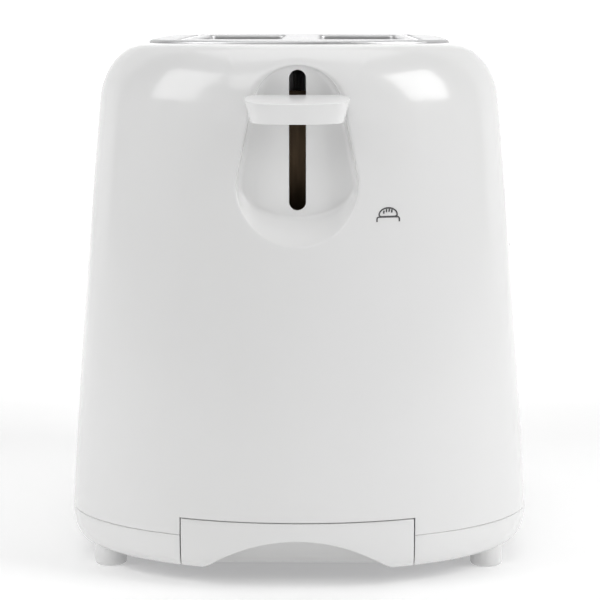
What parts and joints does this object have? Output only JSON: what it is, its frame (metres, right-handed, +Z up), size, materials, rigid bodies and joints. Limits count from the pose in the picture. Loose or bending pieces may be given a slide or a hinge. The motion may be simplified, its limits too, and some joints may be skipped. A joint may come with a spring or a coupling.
{
  "type": "pop-up toaster",
  "caption": "Upright white toaster with bread slots in a steel top plate, an end lever in an egg-shaped recess, a slide-out crumb tray and a lifting bun rack.",
  "frame": {"origin": "on the table, at the centre of the object's box", "axes": "+Z up; the lever end faces -Y; the controls are on the -X side; +Y runs along the bread slots"},
  "size_m": [0.18, 0.286, 0.1956],
  "materials": {
    "white_plastic": "smooth gloss white",
    "dark_plastic": "fine matte black",
    "steel": "mill finish",
    "polished_steel": "polished",
    "mica": "dull flaked mica sheet",
    "circuit_board": "solder-masked laminate",
    "copper": "enamelled copper winding"
  },
  "bodies": {
    "root": {"outer_shell": "white_plastic", "base_rim": "white_plastic", "base_plate": "steel", "top_plate": "polished_steel", "foot_front_left": "white_plastic", "foot_front_right": "white_plastic", "foot_rear_left": "white_plastic", "foot_rear_right": "white_plastic", "base_screw_front_left": "steel", "base_screw_front_right": "steel", "base_screw_rear_left": "steel", "base_screw_rear_right": "steel", "cord_gland": "dark_plastic", "chassis_plate_front": "steel", "chassis_plate_rear": "steel", "heating_element_left": "mica", "heating_element_centre": "mica", "heating_element_right": "mica", "reflector_left": "polished_steel", "reflector_right": "polished_steel", "bread_guide_left_inner": "steel", "bread_guide_left_outer": "steel", "bread_guide_right_inner": "steel", "bread_guide_right_outer": "steel", "control_board": "circuit_board", "board_post_front_left": "dark_plastic", "board_post_front_right": "dark_plastic", "board_post_rear_left": "dark_plastic", "board_post_rear_right": "dark_plastic", "power_switch": "dark_plastic", "terminal_block": "dark_plastic", "latch_magnet_core": "steel", "latch_magnet_coil": "copper", "control_panel": "white_plastic", "button_board": "circuit_board", "potentiometer": "dark_plastic", "defrost_switch": "dark_plastic", "reheat_switch": "dark_plastic", "cancel_switch": "dark_plastic", "guide_rod": "polished_steel", "rod_bracket_bottom": "steel", "rod_bracket_top": "steel", "return_spring": "steel"},
    "lift_carriage": {"lever_knob": "white_plastic", "lever_arm": "steel", "carriage_bracket": "steel", "bread_lifter_left": "steel", "bread_lifter_right": "steel", "latch_armature": "steel"},
    "crumb_tray": {"crumb_tray_handle": "white_plastic", "crumb_tray_pan": "steel"},
    "dial": {"browning_dial": "white_plastic", "dial_shaft": "steel"},
    "defrost_key": {"defrost_button": "white_plastic"},
    "reheat_key": {"reheat_button": "white_plastic"},
    "cancel_key": {"cancel_button": "white_plastic"},
    "bun_rack": {"rack_wire_left": "polished_steel", "rack_wire_right": "polished_steel", "rack_lift_frame": "steel", "rack_slider": "white_plastic"}
  },
  "joints": [
    {"name": "lever_lift", "type": "slide", "parent": "root", "child": "lift_carriage", "axis": [0, 0, 1], "range_m": [-0.033, 0.008], "stiffness_N_per_m": 120, "springref_m": 0.0064, "deforming": ["return_spring"]},
    {"name": "crumb_tray_slide", "type": "slide", "parent": "root", "child": "crumb_tray", "axis": [0, -1, 0], "range_m": [0, 0.24]},
    {"name": "browning_dial_turn", "type": "hinge", "parent": "root", "child": "dial", "pos_m": [-0.0828, 0.019, 0.063], "axis": [-1, 0, 0], "range_deg": [-135, 135]},
    {"name": "defrost_press", "type": "slide", "parent": "root", "child": "defrost_key", "axis": [1, 0, 0], "range_m": [0, 0.002], "stiffness_N_per_m": 300, "springref_m": -0.002},
    {"name": "reheat_press", "type": "slide", "parent": "root", "child": "reheat_key", "axis": [1, 0, 0], "range_m": [0, 0.002], "stiffness_N_per_m": 300, "springref_m": -0.002},
    {"name": "cancel_press", "type": "slide", "parent": "root", "child": "cancel_key", "axis": [1, 0, 0], "range_m": [0, 0.002], "stiffness_N_per_m": 300, "springref_m": -0.002},
    {"name": "bun_rack_lift", "type": "slide", "parent": "root", "child": "bun_rack", "axis": [0, 0, 1], "range_m": [0, 0.032]}
  ]
}
